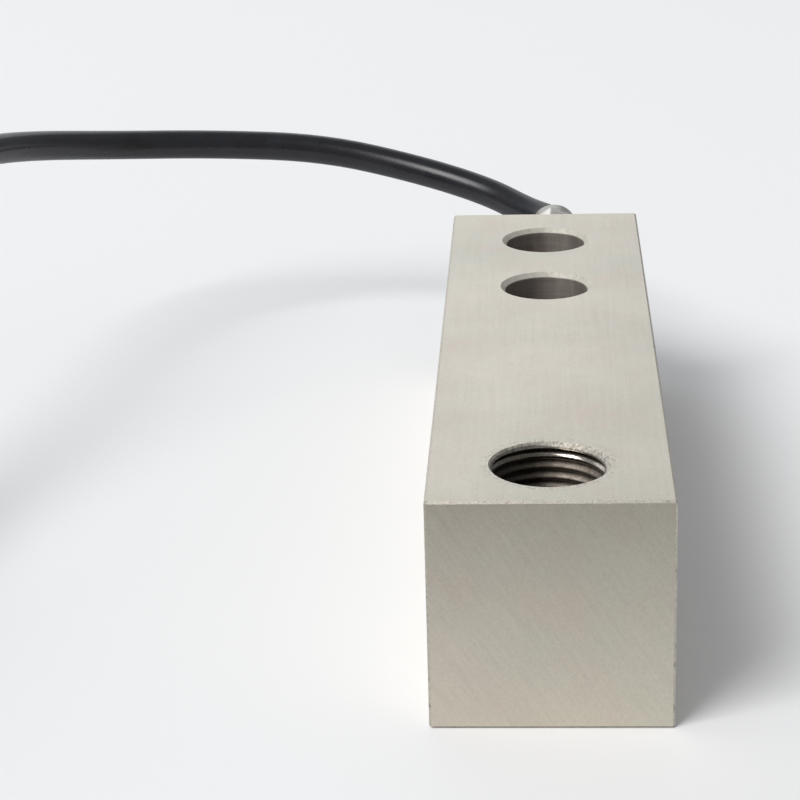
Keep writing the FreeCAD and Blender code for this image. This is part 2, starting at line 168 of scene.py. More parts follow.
class Finish:
    """A procedural material that is built up node by node round one Principled shader."""

    def __init__(self, name):
        self.material = bpy.data.materials.new(name)
        self.material.use_nodes = True
        self.tree = self.material.node_tree
        self.shader = self.tree.nodes["Principled BSDF"]
        self.place = self.add("ShaderNodeTexCoord").outputs["Object"]

    def add(self, kind, **settings):
        """Adds a node with its settings."""
        node = self.tree.nodes.new(kind)
        for key, value in settings.items():
            setattr(node, key, value)
        return node

    def plug(self, source, socket):
        """Links a node's output to a socket, or sets a plain value on it."""
        if isinstance(source, bpy.types.NodeSocket):
            self.tree.links.new(source, socket)
        else:
            socket.default_value = source

    def set(self, **values):
        """Sets or links the shader's own sockets, by their names with underscores for spaces."""
        for key, value in values.items():
            self.plug(value, self.shader.inputs[key.replace("_", " ")])

    def math(self, operation, first, second=0.0, clamp=False):
        """A sum, product or other step on two numbers."""
        node = self.add("ShaderNodeMath", operation=operation, use_clamp=clamp)
        self.plug(first, node.inputs[0])
        self.plug(second, node.inputs[1])
        return node.outputs[0]

    def times(self, first, second):
        return self.math("MULTIPLY", first, second)

    def most(self, first, second):
        return self.math("MAXIMUM", first, second)

    def weighed(self, first, first_share, second, second_share):
        """Two patterns added up, each by its share."""
        return self.math("ADD", self.times(first, first_share), self.times(second, second_share))

    def vector(self, operation, first, second=(0, 0, 0)):
        """A step on two vectors, which gives a number if it is a length or a distance."""
        node = self.add("ShaderNodeVectorMath", operation=operation)
        self.plug(first, node.inputs[0])
        self.plug(second, node.inputs[1])
        return node.outputs["Value"] if operation in ("LENGTH", "DISTANCE") else node.outputs[0]

    def parts(self, vector):
        """The x, y and z of a vector."""
        node = self.add("ShaderNodeSeparateXYZ")
        self.plug(vector, node.inputs[0])
        return tuple(node.outputs)

    def stretched(self, scale, turn=(0, 0, 0)):
        """Object coordinates turned and then stretched, for grain that runs one way."""
        turned = self.add("ShaderNodeMapping", vector_type="POINT")
        self.plug(self.place, turned.inputs["Vector"])
        turned.inputs["Rotation"].default_value = [math.radians(angle) for angle in turn]
        return self.vector("MULTIPLY", turned.outputs["Vector"], scale)

    def noise(self, scale, detail, roughness, at=None):
        """A cloudy pattern from 0 to 1, mostly near the middle."""
        node = self.add("ShaderNodeTexNoise")
        self.plug(at if at is not None else self.place, node.inputs["Vector"])
        node.inputs["Scale"].default_value = scale
        node.inputs["Detail"].default_value = detail
        node.inputs["Roughness"].default_value = roughness
        return node.outputs["Fac"]

    def span(self, value, low, high, to_low=0.0, to_high=1.0):
        """Maps a range of values onto another, held at its ends."""
        node = self.add("ShaderNodeMapRange", clamp=True)
        self.plug(value, node.inputs["Value"])
        ends = {"From Min": low, "From Max": high, "To Min": to_low, "To Max": to_high}
        for socket, number in ends.items():
            self.plug(number, node.inputs[socket])
        return node.outputs["Result"]

    def blend(self, factor, first, second):
        """A mix of two colours, which are sockets 6 and 7 of the node."""
        node = self.add("ShaderNodeMix", data_type="RGBA")
        self.plug(factor, node.inputs[0])
        for socket, colour in ((6, first), (7, second)):
            is_linked = isinstance(colour, bpy.types.NodeSocket)
            self.plug(colour if is_linked else (*colour, 1), node.inputs[socket])
        return node.outputs[2]

    def mix(self, factor, first, second):
        """A mix of two numbers, which are sockets 2 and 3 of the node."""
        node = self.add("ShaderNodeMix", data_type="FLOAT")
        for socket, value in zip((0, 2, 3), (factor, first, second)):
            self.plug(value, node.inputs[socket])
        return node.outputs[0]

    def scaled(self, colour, factor):
        """A colour made lighter or darker by a factor."""
        node = self.add("ShaderNodeVectorMath", operation="SCALE")
        self.plug(colour, node.inputs[0])
        self.plug(factor, node.inputs["Scale"])
        return node.outputs[0]

    def bump(self, height, distance, strength, under=None):
        """A fine relief, on top of another one where that is given."""
        node = self.add("ShaderNodeBump")
        self.plug(height, node.inputs["Height"])
        node.inputs["Distance"].default_value = distance
        node.inputs["Strength"].default_value = strength
        if under is not None:
            self.plug(under, node.inputs["Normal"])
        return node.outputs["Normal"]


def wear(piece, finish):
    """Gives a piece or a CAD node one finish."""
    piece.data.materials.clear()
    piece.data.materials.append(finish.material)


nickel_warm = (0.645, 0.597, 0.508)
nickel_green = (0.605, 0.582, 0.497)
nickel_rose = (0.628, 0.562, 0.487)
edge_pale = (0.53, 0.497, 0.435)
nick_dark = (0.22, 0.195, 0.165)
bore_brown = (0.23, 0.197, 0.175)
bore_grey = (0.36, 0.325, 0.29)
thread_brown = (0.19, 0.158, 0.133)
thread_grey = (0.31, 0.270, 0.226)
burnished_grey = (0.58, 0.53, 0.46)
chamfer_grey = (0.58, 0.555, 0.485)
chamfer_dark = (0.46, 0.435, 0.375)
rim_pale = (0.62, 0.585, 0.505)
bolt_hole_radius = mounts["bolt_hole_inner"]["dims"]["r_mm"] / 1000
bolt_hole_chamfer = 0.00075
bore_margin = 0.00008
load_hole_rim = 0.0080
rim_margin = 0.00003
rim_lit_depth_left = 0.00020
rim_lit_depth_right = 0.00055
rim_fade = 0.00015
torn_band = 0.0015
burr_band = 0.0035
burnished_depth = 0.0021
burnish_fade = 0.0003
shade_edge_wander = 0.001
shade_edge_fade = 0.002
bore_end_shade_start = 0.0030
bore_end_shade_end = 0.0055
grain_depth = 0.00002
pit_depth = 0.00003
plated = Finish("satin_nickel_plate")

# Where a point lies on the beam, by the way its face looks and by its distance from the holes.
facing = plated.add("ShaderNodeNewGeometry").outputs["Normal"]
side_on, end_on, top_on = plated.parts(plated.vector("ABSOLUTE", facing))
flatness = plated.most(plated.most(side_on, end_on), top_on)
on_edge = plated.span(flatness, 0.88, 0.97, 1.0, 0.0)
on_end = plated.span(end_on, 0.6, 0.8)
off_top = plated.span(top_on, 0.95, 0.99, 1.0, 0.0)
place_x, place_y, place_z = plated.parts(plated.place)
level = plated.vector("MULTIPLY", plated.place, (1, 1, 0))
to_load = plated.vector("DISTANCE", level, (load_hole.x, load_hole.y, 0))
to_bolts = [plated.vector("DISTANCE", level, (hole.x, hole.y, 0)) for hole in bolt_holes]
to_bolt = plated.math("MINIMUM", *to_bolts)
in_bore = plated.math("LESS_THAN", to_bolt, bolt_hole_radius + bore_margin)
in_countersink = plated.math("LESS_THAN", to_bolt, bolt_hole_radius + bolt_hole_chamfer + bore_margin)
by_load = plated.math("LESS_THAN", to_load, load_hole_rim + bore_margin)
cone_gap = plated.math("SUBTRACT", to_load, plated.math("ADD", place_z, load_hole_rim - beam_high.z))
near_cone = plated.math("LESS_THAN", plated.math("ABSOLUTE", cone_gap), rim_margin)
on_rim = plated.times(by_load, near_cone)
in_thread = plated.math("SUBTRACT", by_load, on_rim)
beside_rim = plated.span(to_load, load_hole_rim, load_hole_rim + torn_band, 1.0, 0.0)

# The ground plate has cloudy tints, and grinding lines along the sides and slantwise on the ends.
clouds = plated.noise(38, 3, 0.55)
blotches = plated.noise(95, 4, 0.6)
grain = plated.noise(2600, 2, 0.6)
lengthwise = plated.noise(1.0, 3, 0.6, plated.stretched((2600, 55, 55)))
diagonal = plated.noise(1.0, 3, 0.6, plated.stretched((2400, 60, 110), (0, 33, 0)))
grinding = plated.mix(on_end, lengthwise, diagonal)
colour = plated.blend(plated.span(clouds, 0.35, 0.65), nickel_warm, nickel_green)
colour = plated.blend(plated.span(blotches, 0.46, 0.66), colour, nickel_rose)
marks = plated.weighed(grain, 0.5, grinding, 0.5)
colour = plated.scaled(colour, plated.span(marks, 0.3, 0.7, 0.90, 1.07))

# The edges are worn and nicked, with a grainy burr that spreads over the top at the load end.
grain_coarse = plated.noise(1100, 3, 0.7)
edge_colour = plated.blend(plated.span(grain_coarse, 0.33, 0.40), nick_dark, edge_pale)
colour = plated.blend(plated.times(on_edge, 0.75), colour, edge_colour)
burr = plated.noise(5200, 3, 0.7)
by_front = plated.span(place_y, beam_low.y, beam_low.y + burr_band, 0.7, 0.0)
by_front = plated.times(by_front, plated.math("SUBTRACT", 1.0, off_top))
burred = plated.most(on_edge, by_front)
colour = plated.blend(burred, colour, plated.scaled(colour, plated.span(burr, 0.36, 0.62, 0.70, 1.16)))

# The bolt holes have rough countersinks, and bores with drill marks. Painted shade darkens the bores on their
# left and towards their right end, and painted light brightens them on their right.
streaks = plated.noise(1.0, 3, 0.65, plated.stretched((700, 700, 90)))
rings = plated.noise(1.0, 3, 0.7, plated.stretched((120, 120, 5200)))
boring = plated.weighed(streaks, 0.45, rings, 0.55)
# The painted lit side is the right of the part, with a wavy edge near the middle; the rim and thread use it
# too.
wander = plated.span(clouds, 0.3, 0.7, -shade_edge_wander, shade_edge_wander)
painted_lit_side = plated.span(plated.math("ADD", place_x, wander), -shade_edge_fade, shade_edge_fade)
bore_end_shade = plated.span(place_x, bore_end_shade_start, bore_end_shade_end, 1.0, 0.70)
bore_colour = plated.blend(plated.span(boring, 0.38, 0.66), bore_brown, bore_grey)
bore_colour = plated.scaled(bore_colour, plated.times(plated.mix(painted_lit_side, 0.70, 1.20), bore_end_shade))
milled = plated.blend(plated.span(grain_coarse, 0.32, 0.58), chamfer_dark, chamfer_grey)
colour = plated.blend(plated.times(in_countersink, off_top), colour, milled)
colour = plated.blend(plated.times(in_bore, off_top), colour, bore_colour)

# The tapped hole has a torn, speckled rim and a pitted thread, burnished near the top.
speckle = plated.noise(2600, 4, 0.75)
torn = plated.times(plated.span(speckle, 0.40, 0.46, 1.0, 0.0), beside_rim)
colour = plated.blend(plated.times(torn, 0.7), colour, nick_dark)
rim_colour = plated.blend(plated.span(speckle, 0.36, 0.60), nick_dark, rim_pale)
# Painted shade darkens the rim a little on its left, and much more on its inner part, which begins higher up
# on the left.
rim_depth = plated.math("SUBTRACT", beam_high.z, place_z)
rim_lit_depth = plated.mix(painted_lit_side, rim_lit_depth_left, rim_lit_depth_right)
rim_painted_shade = plated.span(plated.math("SUBTRACT", rim_depth, rim_lit_depth), 0.0, rim_fade)
rim_colour = plated.scaled(rim_colour, plated.mix(rim_painted_shade, plated.mix(painted_lit_side, 0.82, 1.05), 0.28))
colour = plated.blend(plated.times(by_load, off_top), colour, rim_colour)
burnish_end = beam_high.z - burnished_depth
burnish = plated.span(place_z, burnish_end - burnish_fade, burnish_end)
stains = plated.noise(900, 4, 0.75)
thread_colour = plated.blend(plated.span(stains, 0.36, 0.66), thread_brown, thread_grey)
thread_colour = plated.blend(plated.times(burnish, 0.6), thread_colour, burnished_grey)
pitted = plated.span(speckle, 0.36, 0.60, 0.70, 1.15)
# Painted shade darkens the thread on its left.
thread_colour = plated.scaled(thread_colour, plated.times(plated.mix(painted_lit_side, 0.34, 1.0), pitted))
colour = plated.blend(plated.times(in_thread, off_top), colour, thread_colour)

# The plate is satin all over, duller in the countersinks and brightest on the burnished thread.
satin = plated.weighed(grinding, 0.6, clouds, 0.4)
in_hole = plated.times(plated.most(in_bore, in_thread), off_top)
countersunk = plated.times(plated.most(in_countersink, on_rim), off_top)
ground_roughness = plated.span(satin, 0.3, 0.7, 0.38, 0.50)
bore_roughness = plated.span(boring, 0.3, 0.7, 0.36, 0.48)
roughness = plated.mix(in_hole, ground_roughness, bore_roughness)
roughness = plated.mix(in_thread, roughness, plated.span(burnish, 0.0, 1.0, 0.56, 0.20))
roughness = plated.mix(plated.math("SUBTRACT", countersunk, in_hole, clamp=True), roughness, 0.60)
metal = plated.mix(countersunk, 1.0, 0.4)
metal = plated.mix(plated.times(in_bore, off_top), metal, 0.35)
relief = plated.bump(grinding, grain_depth, 0.5)
relief = plated.bump(grain, grain_depth, 0.35, relief)
relief = plated.bump(plated.times(speckle, in_thread), pit_depth, 0.5, relief)
plated.set(Base_Color=colour, Metallic=metal, Roughness=roughness, Normal=relief)

wear(beam, plated)
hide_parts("beam")
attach(beam, "root")


# The gauges are foil grids on amber film, bonded to both faces of the web inside the pockets, with a
# solder terminal under each and a small trim board in the right-hand pocket.
def plain_finish(name, base, tint, mottle, roughness, metallic=0.0, fine_depth=0.00002):
    """A mottled finish for a small piece: two close colours, uneven gloss and a fine relief."""
    finish = Finish(name)
    patches = finish.noise(mottle, 3, 0.6)
    fine = finish.noise(mottle * 9, 2, 0.6)
    finish.set(
        Base_Color=finish.blend(finish.span(patches, 0.35, 0.65), base, tint),
        Metallic=metallic,
        Roughness=finish.span(fine, 0.3, 0.7, roughness * 0.85, min(1.0, roughness * 1.15)),
        Normal=finish.bump(fine, fine_depth, 0.4),
    )
    return finish


film = plain_finish("amber_film", (0.56, 0.27, 0.05), (0.50, 0.22, 0.04), mottle=900, roughness=0.35)
foil = plain_finish(
    "grid_foil", (0.62, 0.52, 0.44), (0.55, 0.46, 0.39), mottle=1800, roughness=0.30, metallic=1.0
)
laminate = plain_finish(
    "terminal_laminate", (0.66, 0.60, 0.40), (0.60, 0.53, 0.34), mottle=1200, roughness=0.55
)
board = plain_finish(
    "board_laminate", (0.04, 0.22, 0.10), (0.03, 0.17, 0.08), mottle=800, roughness=0.35
)
chip = plain_finish(
    "chip_ceramic", (0.04, 0.04, 0.045), (0.06, 0.06, 0.065), mottle=2500, roughness=0.45
)
for hand in ("right", "left"):
    wear(nodes[f"gauge_film_{hand}"], film)
    wear(nodes[f"gauge_grid_{hand}"], foil)
    wear(nodes[f"terminal_{hand}"], laminate)
wear(nodes["trim_board"], board)
wear(nodes["trim_resistors"], chip)


# Fine copper wires are soldered between the gauges, terminals and board, and the cable's four insulated
# cores come to the board through the long bore beside the bolt holes.
copper = plain_finish(
    "bare_copper", (0.62, 0.31, 0.15), (0.52, 0.25, 0.12), mottle=3000, roughness=0.30, metallic=1.0
)
insulation_looks = {
    "red": ((0.52, 0.025, 0.025), (0.44, 0.02, 0.02), 0.40),
    "black": ((0.016, 0.016, 0.017), (0.024, 0.024, 0.026), 0.40),
    "white": ((0.78, 0.78, 0.75), (0.72, 0.71, 0.67), 0.42),
    "green": ((0.025, 0.27, 0.07), (0.02, 0.21, 0.055), 0.40),
    "yellow": ((0.72, 0.50, 0.035), (0.64, 0.43, 0.03), 0.40),
}
insulations = {
    shade: plain_finish(f"insulation_{shade}", base, tint, mottle=1500, roughness=dullness)
    for shade, (base, tint, dullness) in insulation_looks.items()
}
for wires in ("gauge_leads_right", "gauge_leads_left", "board_jumpers", "link_wires"):
    wear(nodes[wires], copper)
for shade in ("red", "black", "green", "white"):
    wear(nodes[f"core_{shade}"], insulations[shade])


# Turned steel discs close the gauge pockets. Each sits a little under the side of the beam and is welded
# in all round, and pressed pins close the outer ends of the drilled wire way.
bead_radius = 0.00045
bead_sink = 0.00028
bead_sides = 8
bead_ripples = 110
bead_crease = 60
ripple_depth = 0.00005
turning_waves = 15000
turning_depth = 0.00001
cover_low, cover_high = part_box("gauge_cover_right")
cover_middle = (cover_low + cover_high) / 2
turned = Finish("turned_cover")
centred = turned.vector("SUBTRACT", turned.place, (0, cover_middle.y, cover_middle.z))
from_middle = turned.vector("LENGTH", turned.vector("MULTIPLY", centred, (0, 1, 1)))
turning = turned.math("SINE", turned.times(from_middle, turning_waves))
turning_uneven = turned.times(turning, turned.noise(300, 3, 0.6))
cover_clouds = turned.noise(60, 3, 0.6)
turned.set(
    Base_Color=turned.blend(turned.span(cover_clouds, 0.35, 0.65), nickel_warm, nickel_green),
    Metallic=1.0,
    Roughness=turned.span(turning_uneven, -0.5, 0.5, 0.30, 0.42),
    Normal=turned.bump(turning_uneven, turning_depth, 0.5),
)
weld = plain_finish(
    "weld_bead", (0.50, 0.48, 0.44), (0.42, 0.38, 0.34), mottle=700, roughness=0.38, metallic=1.0
)
for hand, outward in (("right", 1), ("left", -1)):
    wear(nodes[f"gauge_cover_{hand}"], turned)
    low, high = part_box(f"gauge_cover_{hand}")
    deselect_all()
    bpy.ops.mesh.primitive_torus_add(
        location=(outward * (beam_high.x - bead_sink), cover_middle.y, cover_middle.z),
        rotation=(0, math.radians(90), 0),
        major_radius=(high.z - low.z) / 2,
        minor_radius=bead_radius,
        major_segments=2 * bead_ripples,
        minor_segments=bead_sides,
    )
    bead = bpy.context.object
    bead.name = f"cover_weld_{hand}"
    bpy.ops.object.transform_apply(location=True, rotation=True, scale=True)
    open_edit()
    bpy.ops.mesh.select_all(action="DESELECT")
    leave_edit()
    for index, vertex in enumerate(bead.data.vertices):
        vertex.select = (index // bead_sides) % 2 == 0
    open_edit()
    bpy.ops.transform.shrink_fatten(value=-ripple_depth)
    leave_edit()
    smooth(bead, bead_crease)
    wear(bead, weld)
    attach(bead, "root")
wear(nodes["passage_plugs"], turned)


# The cable gland is turned and milled from nickel-plated brass. Its body screws into the rear face over a
# flat rubber ring, and its nut, with a satin domed end, squeezes a seal and a slip washer round the cable.
def soften(piece, width, degrees):
    """Rounds off the edges of a piece that are sharper than an angle."""
    softened = piece.modifiers.new("softened", "BEVEL")
    softened.width = width
    softened.segments = 2
    softened.limit_method = "ANGLE"
    softened.angle_limit = math.radians(degrees)
    apply_all(piece)


gland_bright = (0.70, 0.680, 0.62)
gland_dull = (0.62, 0.595, 0.53)
gland_edge = 0.00012
gland_edge_angle = 25
gland_crease = 40
dome_radius = 0.00425
flats_radius = 0.0044
nut_low, nut_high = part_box("gland_nut")
nut_middle = (nut_low + nut_high) / 2
nickel_brass = Finish("nickel_plated_brass")
gland_mottle = nickel_brass.noise(260, 3, 0.6)
gland_turning = nickel_brass.noise(1.0, 2, 0.6, nickel_brass.stretched((200, 3000, 200)))
off_axis = nickel_brass.vector("SUBTRACT", nickel_brass.place, nut_middle)
from_axis = nickel_brass.vector("LENGTH", nickel_brass.vector("MULTIPLY", off_axis, (1, 0, 1)))
on_flats = nickel_brass.span(from_axis, dome_radius, flats_radius)
bright_nickel = nickel_brass.blend(nickel_brass.span(gland_mottle, 0.35, 0.65), gland_bright, gland_dull)
flats_roughness = nickel_brass.span(gland_turning, 0.3, 0.7, 0.22, 0.36)
# The dome inside the flats is painted at half the brightness as painted shade, and it is duller as well.
nickel_brass.set(
    Base_Color=nickel_brass.scaled(bright_nickel, nickel_brass.mix(on_flats, 0.50, 1.0)),
    Metallic=1.0,
    Roughness=nickel_brass.mix(on_flats, 0.40, flats_roughness),
    Normal=nickel_brass.bump(gland_turning, turning_depth, 0.5),
)
seal_rubber = plain_finish(
    "seal_rubber", (0.020, 0.020, 0.021), (0.030, 0.030, 0.031), mottle=1200, roughness=0.60
)
ring_plastic = plain_finish(
    "ring_plastic", (0.74, 0.73, 0.69), (0.68, 0.67, 0.62), mottle=900, roughness=0.50
)
for node in ("gland_body", "gland_nut"):
    fitting = merged_copy(node, f"{node}_milled")
    soften(fitting, gland_edge, gland_edge_angle)
    smooth(fitting, gland_crease)
    wear(fitting, nickel_brass)
    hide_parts(node)
    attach(fitting, "root")
wear(nodes["gland_washer"], seal_rubber)
wear(nodes["gland_seal"], seal_rubber)
wear(nodes["gland_slip_washer"], ring_plastic)


# The cable is a round four-core screened cable in a black satin jacket. It leaves the gland in a low arch
# to the left, and the length past the picture is wound in a flat coil of four layers on the floor.
cable_diameter = 0.0054
cable_roundness = 6
cable_exit = Vector((0.0017, nut_high.y, 0.0244))
cable_straight = 0.0032

# Control points of the cable's route, from the gland to the coil and from the coil to the free end.
cable_bends = [
    (-0.0030, 0.0918, 0.02445),
    (-0.0103, 0.0997, 0.02632),
    (-0.0237, 0.1061, 0.02912),
    (-0.0423, 0.1096, 0.0328),
    (-0.0631, 0.1075, 0.0344),
    (-0.0814, 0.0994, 0.0365),
    (-0.0935, 0.0823, 0.0410),
    (-0.0990, 0.0620, 0.0452),
    (-0.1020, 0.0420, 0.0460),
    (-0.1045, 0.0230, 0.0415),
    (-0.1060, 0.0060, 0.0335),
    (-0.1065, -0.0095, 0.0245),
]
tail_bends = [
    (-0.1875, -0.0100, 0.0028),
    (-0.1830, 0.0050, 0.00285),
    (-0.1735, 0.0170, 0.00305),
    (-0.1600, 0.0250, 0.00305),
]

# The coil is wound in layers, in and out by turns, and lies a little higher where the tie passes below.
coil_low, coil_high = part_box("cable_coil")
coil_centre = (coil_low + coil_high) / 2
coil_slack = 0.0002
coil_outer = (coil_high.x - coil_low.x) / 2 - cable_diameter / 2 - coil_slack
coil_floor = 0.00275
coil_layers = 4
layer_turns = 3.1875
drop_turns = 0.25
pitch_turns = layer_turns + drop_turns
coil_turns = coil_layers * pitch_turns - drop_turns
points_per_turn = 16
tie_low, tie_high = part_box("coil_tie")
tie_middle = (tie_low + tie_high) / 2
tie_angle = math.atan2(tie_middle.y - coil_centre.y, tie_middle.x - coil_centre.x)
tie_lift = 0.001
tie_spread = math.radians(60)


def coil_place(turns):
    """The cable's radius and height in the coil after some turns, wound from the top layer down."""
    layer = min(int(turns / pitch_turns), coil_layers - 1)
    in_layer = turns - layer * pitch_turns
    travel = min(in_layer, layer_turns) * cable_diameter
    inward = layer % 2 == 0
    radius = coil_outer - travel if inward else coil_outer - layer_turns * cable_diameter + travel
    dropped = layer + max(0.0, in_layer - layer_turns) / drop_turns
    height = coil_floor + (coil_layers - 1 - dropped) * cable_diameter
    from_tie = abs(math.remainder(-turns * math.tau - tie_angle, math.tau))
    near_tie = max(0.0, 1 - from_tie / tie_spread)
    lift = tie_lift * near_tie**2 * (3 - 2 * near_tie)
    return radius, height + lift * (1 - height / coil_high.z)


def coil_points():
    """The coil's control points, a little outside the round turns that they make."""
    control_scale = 1 / (0.75 + 0.25 * math.cos(math.tau / points_per_turn))
    points = []
    for number in range(round(coil_turns * points_per_turn) + 1):
        turns = number / points_per_turn
        radius, height = coil_place(turns)
        angle = -turns * math.tau
        points.append((
            coil_centre.x + radius * control_scale * math.cos(angle),
            coil_centre.y + radius * control_scale * math.sin(angle),
            height,
        ))
    return points


def cord_curve(name, points, diameter, roundness, steps=6):
    """A round cord on one smooth open spline with the points as its control points."""
    curve = bpy.data.curves.new(name, "CURVE")
    curve.dimensions = "3D"
    curve.bevel_depth = diameter / 2
    curve.bevel_resolution = roundness
    curve.resolution_u = steps
    curve.use_fill_caps = True
    spline = curve.splines.new("NURBS")
    spline.points.add(len(points) - 1)
    for point, place in zip(spline.points, points):
        point.co = (*place, 1)
    spline.order_u = 3
    spline.use_endpoint_u = True
    cord = bpy.data.objects.new(name, curve)
    scene.collection.objects.link(cord)
    return cord


jacket_black = (0.0085, 0.0086, 0.0115)
jacket_grey = (0.013, 0.0133, 0.017)
scuff_grey = (0.045, 0.046, 0.05)
jacket_depth = 0.00002
jacket = Finish("black_jacket")
jacket_clouds = jacket.noise(240, 3, 0.6)
jacket_fine = jacket.noise(5200, 2, 0.6)
jacket_scuff = jacket.span(jacket.noise(620, 4, 0.75), 0.66, 0.76)
jacket_tint = jacket.blend(jacket.span(jacket_clouds, 0.35, 0.65), jacket_black, jacket_grey)
edge_on = jacket.add("ShaderNodeLayerWeight").outputs["Facing"]
jacket.set(
    Base_Color=jacket.blend(jacket.times(jacket_scuff, 0.5), jacket_tint, scuff_grey),
    Specular_IOR_Level=jacket.span(edge_on, 0.35, 0.75, 0.44, 0.08),
    Roughness=jacket.span(jacket_clouds, 0.3, 0.7, 0.25, 0.31),
    Normal=jacket.bump(jacket_fine, jacket_depth, 0.5),
)
cable_points = [cable_exit, cable_exit + Vector((0, cable_straight, 0))]
cable_points += cable_bends + coil_points() + tail_bends
cable = cord_curve("signal_cable", cable_points, cable_diameter, cable_roundness)
wear(cable, jacket)
wear(nodes["cable_entry"], jacket)
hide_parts("cable_run", "cable_coil", "cable_tail")
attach(cable, "root")


# A moulded black nylon tie is pulled tight round the coil, with its head on top and its end cut off short.
# Its strap takes the shape of the turns that it holds.
def edit_faces(piece, is_wanted):
    """Opens a piece in edit mode with only those faces selected whose normals pass a test."""
    edit_all(piece)
    bpy.ops.mesh.select_mode(type="FACE")
    bpy.ops.mesh.select_all(action="DESELECT")
    leave_edit()
    for face in piece.data.polygons:
        face.select = is_wanted(face.normal)
    open_edit()


strap_width = 0.0026
strap_thickness = 0.0008
turn_sides = 32
head_size = (0.0046, 0.0042, 0.0036)
slot_wall = 0.0009
slot_depth = 0.0004
cut_end_gap = slot_wall / 6
cut_end_height = 0.0008
square_on = 0.9
tie_edge = 0.00015
tie_edge_angle = 40
tie_crease = 30
tie_along = Vector((-math.sin(tie_angle), math.cos(tie_angle), 0))

# A tight sheet round the turns gives the strap its line, and is thickened outwards.
held_turns = []
deselect_all()
for number in range(int(coil_turns) + 1):
    radius, height = coil_place(number - tie_angle / math.tau)
    turn_x = coil_centre.x + radius * math.cos(tie_angle)
    turn_y = coil_centre.y + radius * math.sin(tie_angle)
    bpy.ops.mesh.primitive_cylinder_add(
        vertices=turn_sides,
        radius=cable_diameter / 2,
        depth=strap_width,
        location=(turn_x, turn_y, height),
        rotation=(math.radians(90), 0, tie_angle),
    )
    held_turns.append(bpy.context.object)
top_of_coil = max(turn.location.z for turn in held_turns) + cable_diameter / 2
tie = held_turns[0]
pick(tie)
for turn in held_turns:
    turn.select_set(True)
bpy.ops.object.join()
tie.name = "coil_tie_nylon"
bpy.ops.object.transform_apply(location=True, rotation=True, scale=True)
edit_all(tie)
bpy.ops.mesh.convex_hull(use_existing_faces=False)
bpy.ops.mesh.normals_make_consistent(inside=False)
leave_edit()
edit_faces(tie, lambda normal: abs(normal.dot(tie_along)) > square_on)
bpy.ops.mesh.delete(type="FACE")
leave_edit()
thickened = tie.modifiers.new("thickened", "SOLIDIFY")
thickened.thickness = strap_thickness
thickened.offset = 1.0
apply_all(tie)

# The head is a block with a sunk slot, and the strap's cut end stands in it.
deselect_all()
bpy.ops.mesh.primitive_cube_add(
    size=1.0,
    location=(tie_middle.x, tie_middle.y, top_of_coil + head_size[2] / 2),
    rotation=(0, 0, tie_angle),
    scale=head_size,
)
head = bpy.context.object
bpy.ops.object.transform_apply(location=True, rotation=True, scale=True)
edit_faces(head, lambda normal: normal.z > square_on)
bpy.ops.mesh.inset(thickness=slot_wall, depth=-slot_depth)
bpy.ops.mesh.inset(thickness=cut_end_gap, depth=cut_end_height)
leave_edit()
tie.select_set(True)
bpy.context.view_layer.objects.active = tie
bpy.ops.object.join()
soften(tie, tie_edge, tie_edge_angle)
smooth(tie, tie_crease)
nylon = plain_finish(
    "black_nylon", (0.026, 0.026, 0.028), (0.036, 0.036, 0.038), mottle=700, roughness=0.42
)
wear(tie, nylon)
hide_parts("coil_tie")
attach(tie, "root")


# A shrink sleeve ends the cable's jacket, and five thin leads come out of it. Each is stripped at its end,
# and its bare strands are tinned.
shrink = plain_finish(
    "shrink_sleeve", (0.024, 0.024, 0.024), (0.034, 0.034, 0.034), mottle=900, roughness=0.55
)
tinned = plain_finish(
    "tinned_copper", (0.70, 0.69, 0.66), (0.60, 0.59, 0.56), mottle=2600, roughness=0.30, metallic=1.0
)
wear(nodes["end_sleeve"], shrink)
wear(nodes["lead_tips"], tinned)

# Each lead's route gives millimetres along, beside and above the floor from the end of the jacket.
lead_diameter = 0.0012
lead_roundness = 4
lead_routes = [
    ("red", "lead_red", [(0, 1.0, 3.3), (5, 1.0, 3.3), (19, 6.6, 0.6), (34, 13.5, 0.6)]),
    ("black", "lead_black", [(0, 0.62, 2.15), (5, 0.62, 2.15), (18, 3.2, 0.6), (37, 7.6, 0.6)]),
    ("white", "lead_white", [(0, 0, 4.05), (5.5, 0, 4.05), (22, 0.8, 0.6), (40, 0.6, 0.6)]),
    ("green", "lead_green", [(0, -0.62, 2.15), (5, -0.62, 2.15), (18, -3.0, 0.6), (36, -8.2, 0.6)]),
    ("yellow", "lead_shield", [(0, -1.0, 3.3), (5, -1.0, 3.3), (18, -6.6, 0.6), (31, -13.5, 0.6)]),
]
tail_end = Vector(tail_bends[-1])
tail_foot = Vector((tail_end.x, tail_end.y, 0))
ahead = (tail_end - Vector(tail_bends[-2])).normalized()
upright = Vector((0, 0, 1))
beside = upright.cross(ahead)
for shade, node, steps in lead_routes:
    lead_points = [
        tail_foot + (ahead * forth + beside * aside + upright * above) / 1000
        for forth, aside, above in steps
    ]
    lead = cord_curve(f"flying_lead_{shade}", lead_points, lead_diameter, lead_roundness)
    wear(lead, insulations[shade])
    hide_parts(node)
    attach(lead, "root")


# The part lies on a wide sheet of pale matt paper, which is not a piece of it. The sheet is laid a hair
# below the part's own level.
floor_size = 30.0
floor_drop = 0.00002
paper_white = (0.900, 0.900, 0.902)
paper_shade = (0.890, 0.891, 0.895)
paper_roughness = 0.9
deselect_all()
bpy.ops.mesh.primitive_plane_add(size=floor_size, location=(0, 0, -floor_drop))
floor = bpy.context.object
floor.name = "paper_floor"
paper = Finish("pale_paper")
paper_tint = paper.blend(paper.noise(9, 3, 0.6), paper_white, paper_shade)
paper.set(Base_Color=paper_tint, Roughness=paper_roughness)
floor.data.materials.append(paper.material)


